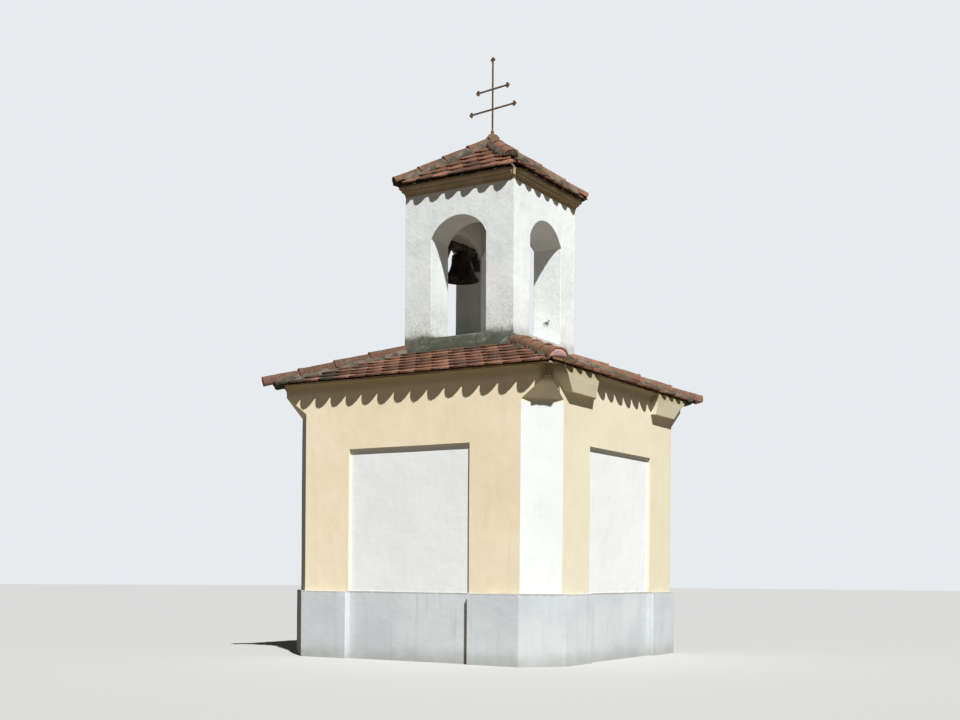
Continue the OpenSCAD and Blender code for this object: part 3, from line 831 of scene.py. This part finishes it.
skirt_slope = (skirt_top - skirt_tail_z) / (eave_half - belfry_half)
fillet_steps = 56
for side, name in enumerate(sides):
    turn = Matrix.Rotation(math.pi / 2 * side, 4, "Z")
    slight = 0.55 if name == "right" else 1
    shape = bmesh.new()
    loops = []
    for k in range(fillet_steps + 1):
        x = (belfry_half + 0.012) * (2 * k / fillet_steps - 1)
        seat = turn @ Vector((x, -belfry_half, skirt_top))
        out = slight * (0.062 + 0.026 * noise.noise(seat * 7) + 0.012 * noise.noise(seat * 23))
        rise = slight * (0.04 + 0.03 * noise.noise(seat * 6 + Vector((3, 3, 3))))
        section = [(0.02, rise), (-0.004, rise), (-out * 0.35, rise * 0.42), (-out * 0.75, 0.004),
                   (-out, -0.02 - out * skirt_slope), (0.02, -0.06)]
        loops.append([])
        for y, z in section:
            p = turn @ Vector((x, -belfry_half + y, skirt_top + z))
            loops[-1].append(shape.verts.new(p + noise.noise_vector(p * 29) * 0.005))
    close_loops(shape, loops)
    piece = add_piece(f"belfry_fillet_{name}", shape, fillet_finish, crease=60)
    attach(piece, "tower")

# Belfry cornice
# Two tiers run in tan plaster round the top of the belfry, cut back at the front right
# corner. The slab behind them is the ceiling over the bell, of the same bare plaster.


def cornice_soft(p):
    return max(abs(p.x), abs(p.y)) > belfry_half + 0.02


shape = cast("belfry_cornice", belfry_cell, belfry_arris, cornice_soft, drift=(0.004, 0.0022))
piece = add_piece("cornice_plaster", shape, eaves_finish, crease=35)
even_normals(piece)
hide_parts("belfry_cornice")
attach(piece, "tower")

# Cap roof
# The same tiles on a steeper pyramid, cut back at the front right corner, where the hip row
# is shorter too, with a collar of mortar round the foot of the cross, in the hip tiles' finish.

cornice_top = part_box("belfry_cornice")[1].z
cap_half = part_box("cap_roof")[1].x
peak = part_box("cap_roof")[1].z
collar_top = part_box("cap_hip_tiles")[1].z
cap_tail_z = cornice_top + 0.026           # the top edge of the lowest tails
cap_cut = (0.15, 0.07)                     # along the front and along the right
cap_courses = 6
cap_joints = (0.09, 0.03, 0.0, 0.05)       # a joint on each side, from the side's middle


def cap_moss(side, x, share):
    """Most on the front and the left, but for the right end of each."""
    return (0.2 if side in (0, 3) and x < 0.15 else 0.08) + chance.uniform(0, 0.25)


for side, name in enumerate(sides):
    tile_slope(f"cap_tiles_{name}", side, half=cap_half, tail_z=cap_tail_z,
                                 top_half=0.0, top_z=peak, courses=cap_courses,
                                 joint_at=cap_joints[side], moss_of=cap_moss,
                                 corner_cut=cap_cut)
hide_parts("cap_roof")
mortar_bed("cap_bed",
           [(cap_half - 0.212, cornice_top + 0.002), (cap_half - 0.042, cornice_top + 0.003),
            (cap_half - 0.044, cornice_top + 0.007), (cap_half - 0.112, cornice_top + 0.026),
            (0.03, peak - 0.075)],
           mortar_finish, 2 * cap_half - 0.21)

cap_pitch = math.atan2(peak - cap_tail_z, cap_half * root2)
cap_short_by = (0.27, 0.035, 0.035, 0.035)  # how far each row ends short of its corner
cap_lows = []
for short_by in cap_short_by:
    cap_lows.append((cap_half * root2 - short_by, cap_tail_z + short_by * math.tan(cap_pitch)))
hip_rows("cap", top=(0.0, peak), lows=cap_lows, pitch=cap_pitch,
         counts=(3, 4, 4, 4), stopper_finish=mortar_finish,
         tile=HipTile(length=0.33, low_radius=0.0735, high_radius=0.06, thick=0.0115),
         bedding=Bedding(half_width=0.082, crown=0.024, back=0.08))

collar_sides = 28
collar_rings = ((0.085, peak - 0.06), (0.08, peak - 0.01), (0.064, peak + 0.02),
                (0.046, peak + 0.042), (0.028, collar_top - 0.004), (0.012, collar_top - 0.002))
shape = bmesh.new()
loops = []
for radius, z in collar_rings:
    loops.append([])
    for i in range(collar_sides):
        a = 2 * math.pi * i / collar_sides
        p = Vector((radius * math.cos(a), radius * math.sin(a), z))
        lumpy = 0.006 * min(1, radius / 0.06)
        loops[-1].append(shape.verts.new(p + noise.noise_vector(p * 25) * lumpy))
close_loops(shape, loops)
piece = add_piece("cap_collar", shape, hip_finish, crease=60)
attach(piece, "tower")

# Cross
# Wrought iron: a flat upright with two pairs of arms, all with three-lobed ends, let into
# the collar. Bare for years, so it is rusty all over and yellowish where the rust is dry.

brown_rust, orange_rust, dry_rust = (0.075, 0.042, 0.026), (0.26, 0.135, 0.055), (0.38, 0.235, 0.095)

rust = Finish("rusty_wrought_iron")
bloom = rust.noise(30, 5, 0.7)
pits = rust.noise(210, 3, 0.7)
colour = rust.mix(brown_rust, orange_rust, rust.fade(bloom, 0.38, 0.64))
colour = rust.mix(colour, dry_rust, rust.fade(pits, 0.54, 0.72) * 0.6)
rust_finish = rust.finish(colour, 0.8, pits * 0.0009 + bloom * 0.0008, metallic=0.25)


def forge(source, name, radius, finish):
    """A copy of an iron or wooden solid with its edges eased."""
    shape = whole_faces(source)
    sharp = [e for e in shape.edges if e.calc_face_angle_signed(0) > math.radians(40)]
    bmesh.ops.bevel(shape, geom=sharp, offset=radius, segments=2, profile=0.5, affect="EDGES",
                    clamp_overlap=True)
    piece = add_piece(name, shape, finish, crease=45)
    even_normals(piece)
    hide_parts(source)
    return piece


piece = forge("cross", "cross_iron", 0.0022, rust_finish)
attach(piece, "tower")

# Wall irons
# Two forged brackets let into the jambs of the left opening. The bell's gudgeons turn in
# their eyes.

black_iron, brown_iron = (0.028, 0.023, 0.020), (0.085, 0.052, 0.034)

forged = Finish("dark_wrought_iron")
bloom = forged.noise(26, 5, 0.7)
pits = forged.noise(190, 3, 0.7)
colour = forged.mix(black_iron, brown_iron, forged.fade(bloom, 0.42, 0.7))
iron_finish = forged.finish(colour, 0.75, pits * 0.0009 + bloom * 0.0008, metallic=0.2)
for end in ("front", "back"):
    piece = forge(f"bell_bearing_{end}", f"wall_iron_{end}", 0.002, iron_finish)
    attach(piece, "tower")

# Headstock and gudgeons
# A short oak beam that carries the bell, with an iron plate and a turned gudgeon at each
# end, and two straps with a bolt on top that hold the bell's crown up to it.

dark_oak, brown_oak, silver_oak = (0.030, 0.022, 0.017), (0.095, 0.070, 0.050), (0.13, 0.11, 0.085)

timber = Finish("dark_oak")
along = timber.noise(14, 5, 0.6, stretch=(3, 0.25, 3))
fine = timber.noise(60, 4, 0.6, stretch=(3, 0.12, 3))
colour = timber.mix(dark_oak, brown_oak, timber.fade(along, 0.32, 0.68))
colour = timber.mix(colour, silver_oak, timber.fade(fine, 0.55, 0.75) * 0.6)
oak_finish = timber.finish(colour, 0.75, fine * 0.0012 + along * 0.0015)
piece = forge("headstock", "headstock_oak", 0.006, oak_finish)
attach(piece, "swinging_bell")
piece = forge("gudgeons", "gudgeon_irons", 0.0012, iron_finish)
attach(piece, "swinging_bell")

stock_low, stock_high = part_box("headstock")
bell_x = (stock_low.x + stock_high.x) / 2
strap_w, strap_t, strap_off = 0.022, 0.005, 0.03
strap_end, strap_top = stock_low.z - 0.004, stock_high.z + strap_t
bolt_r, bolt_h = 0.011, 0.01


def add_bar(shape, low, high):
    """A small forged bar between two corners."""
    made = bmesh.ops.create_cube(shape, size=1)["verts"]
    for v in made:
        v.co = Vector([low[i] + (high[i] - low[i]) * (v.co[i] + 0.5) for i in range(3)])


shape = bmesh.new()
for y in (-strap_off, strap_off):
    near, far = y - strap_w / 2, y + strap_w / 2
    for x in (stock_low.x - strap_t, stock_high.x):
        add_bar(shape, (x, near, strap_end), (x + strap_t, far, strap_top))
    add_bar(shape, (stock_low.x - strap_t, near, stock_high.z),
            (stock_high.x + strap_t, far, strap_top))
    bmesh.ops.create_cone(shape, cap_ends=True, segments=6, radius1=bolt_r,
                          radius2=bolt_r - 0.0005, depth=bolt_h,
                          matrix=Matrix.Translation((bell_x, y, strap_top + bolt_h / 2)))
bmesh.ops.bevel(shape, geom=shape.edges[:], offset=0.001, segments=2, affect="EDGES")
piece = add_piece("crown_straps", shape, iron_finish, crease=45)
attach(piece, "swinging_bell")

# Bell and clapper
# Cast bronze with raised rings at its shoulder, waist and lip, almost black with age. The
# clapper is a forged iron ball on a shank that hangs from the crown.

black_bronze, brown_bronze, verdigris = (0.014, 0.011, 0.011), (0.045, 0.037, 0.029), (0.032, 0.045, 0.036)

patina = Finish("dark_bronze")
cloud = patina.noise(9, 5, 0.65)
pits = patina.noise(120, 3, 0.6)
colour = patina.mix(black_bronze, brown_bronze, patina.fade(cloud, 0.38, 0.68))
colour = patina.mix(colour, verdigris, patina.fade(pits, 0.6, 0.75) * 0.35)
bronze_finish = patina.finish(colour, 0.55, pits * 0.0005 + cloud * 0.0008, metallic=0.5)

bell_low, bell_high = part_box("bell")
mouth_r = (bell_high.x - bell_low.x) / 2
mouth_z = bell_low.z
crown_r, crown_h = 0.042, 0.016
bell_h = bell_high.z - mouth_z - crown_h   # from the mouth to the foot of the crown
body_h = bell_h - crown_r / 2              # from the mouth to the shoulder
waist, flare = 0.52, 2.4                   # its narrowest share of the mouth, and how fast it opens
bell_wall, crown_wall = 0.013, 0.018
ring_heights = (0.05, 0.085, 0.3, 0.33, 0.82, 0.87)
ring_proud, ring_width = 0.0032, 0.008
turns = 64


def bell_radius(t):
    """The radius at a share of the body's height."""
    return mouth_r * (waist + (1 - waist) * (1 - t) ** flare)


body_steps, shoulder_steps, inside_steps = 96, 12, 14
outside = []
for i in range(body_steps + 1):
    t = i / body_steps
    swell = sum(ring_proud * math.exp(-((t - at) / ring_width) ** 2) for at in ring_heights)
    outside.append((bell_radius(t) + (swell if t > 0.02 else 0), body_h * t))
for i in range(1, shoulder_steps + 1):
    a = math.pi / 2 * i / shoulder_steps
    outside.append((crown_r + (bell_radius(1) - crown_r) * math.cos(a),
                    bell_h - crown_r / 2 * (1 - math.sin(a))))
outside += [(crown_r, bell_h + crown_h - 0.0005), (0, bell_h + crown_h - 0.0005)]
inside = [(0, bell_h - crown_wall), (0.03, bell_h - crown_wall)]
inside += [(bell_radius(i / inside_steps) - bell_wall, body_h * i / inside_steps)
           for i in range(inside_steps - 2, -1, -1)]
shape = bmesh.new()
loops = []
for radius, z in outside + inside:
    points = turns if radius else 1
    loops.append([shape.verts.new((bell_x + radius * math.cos(2 * math.pi * k / points),
                                   radius * math.sin(2 * math.pi * k / points), mouth_z + z))
                  for k in range(points)])
for low, high in zip(loops, loops[1:] + loops[:1]):
    for k in range(turns):
        corners = [low[k % len(low)], low[(k + 1) % len(low)], high[(k + 1) % len(high)],
                   high[k % len(high)]]
        corners = list(dict.fromkeys(corners))
        if len(corners) > 2:
            shape.faces.new(corners)
piece = add_piece("bell_bronze", shape, bronze_finish, crease=50)
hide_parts("bell")
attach(piece, "swinging_bell")
dress("clapper", iron_finish)

# Floor, lights and camera
# A plain pale floor, a soft key light from the upper right and a pale surround. The camera
# stands where the photograph was taken, level, with the lens shifted up to frame the tower.

floor_bounce, floor_pale = (0.15, 0.128, 0.098), (0.42, 0.415, 0.40)
key_colour, surround_colour, fill_colour = (0.965, 0.98, 1.0), (0.80, 0.83, 0.86), (0.90, 0.95, 1.0)

ground = Finish("pale_floor")
colour = ground.mix(floor_bounce, floor_pale, ground.node("ShaderNodeLightPath", out="Is Camera Ray"))
floor_finish = ground.finish(colour, 0.9, ground.noise(40) * 0.0001, specular=0.1)
floor_mesh = bpy.data.meshes.new("floor")
shape = bmesh.new()
bmesh.ops.create_circle(shape, cap_ends=True, radius=60, segments=96)
shape.to_mesh(floor_mesh)
shape.free()
floor_mesh.materials.append(floor_finish)
floor = bpy.data.objects.new("floor", floor_mesh)
bpy.context.scene.collection.objects.link(floor)

towards_key = Vector((1.2, -1, 2.1))
key = bpy.data.objects.new("key_light", bpy.data.lights.new("key_light", "SUN"))
key.data.energy = 6.8
key.data.angle = math.radians(1.2)
key.data.color = key_colour
key.rotation_euler = towards_key.to_track_quat("Z", "Y").to_euler()
bpy.context.scene.collection.objects.link(key)

world = bpy.data.worlds.new("surround")
bpy.context.scene.world = world
world.use_nodes = True
air = Recipe(world.node_tree)
fill = air.node("ShaderNodeBackground", {}, {"Color": fill_colour, "Strength": 0.07})
behind = air.node("ShaderNodeBackground", {}, {"Color": surround_colour, "Strength": 1.0})
by_camera = air.node("ShaderNodeLightPath", out="Is Camera Ray")
surround = air.node("ShaderNodeMixShader", {}, {0: by_camera, 1: fill, 2: behind})
air.node("ShaderNodeOutputWorld", {}, {"Surface": surround})

stand_at = Vector((6.433, -10.671, 0.792))
yaw, roll = math.radians(31.503), math.radians(0.412)
forward = Vector((-math.sin(yaw), math.cos(yaw), 0))
right = Vector((math.cos(yaw), math.sin(yaw), 0))
up = Vector((0, 0, 1))
camera = bpy.data.objects.new("camera", bpy.data.cameras.new("camera"))
axes = Matrix((math.cos(roll) * right + math.sin(roll) * up,
               math.cos(roll) * up - math.sin(roll) * right, -forward)).transposed().to_4x4()
camera.matrix_world = Matrix.Translation(stand_at) @ axes
camera.data.lens = 47.5
camera.data.sensor_width = 36
camera.data.shift_y = 0.2214
bpy.context.scene.collection.objects.link(camera)
bpy.context.scene.camera = camera
bpy.context.scene.view_settings.view_transform = "Standard"
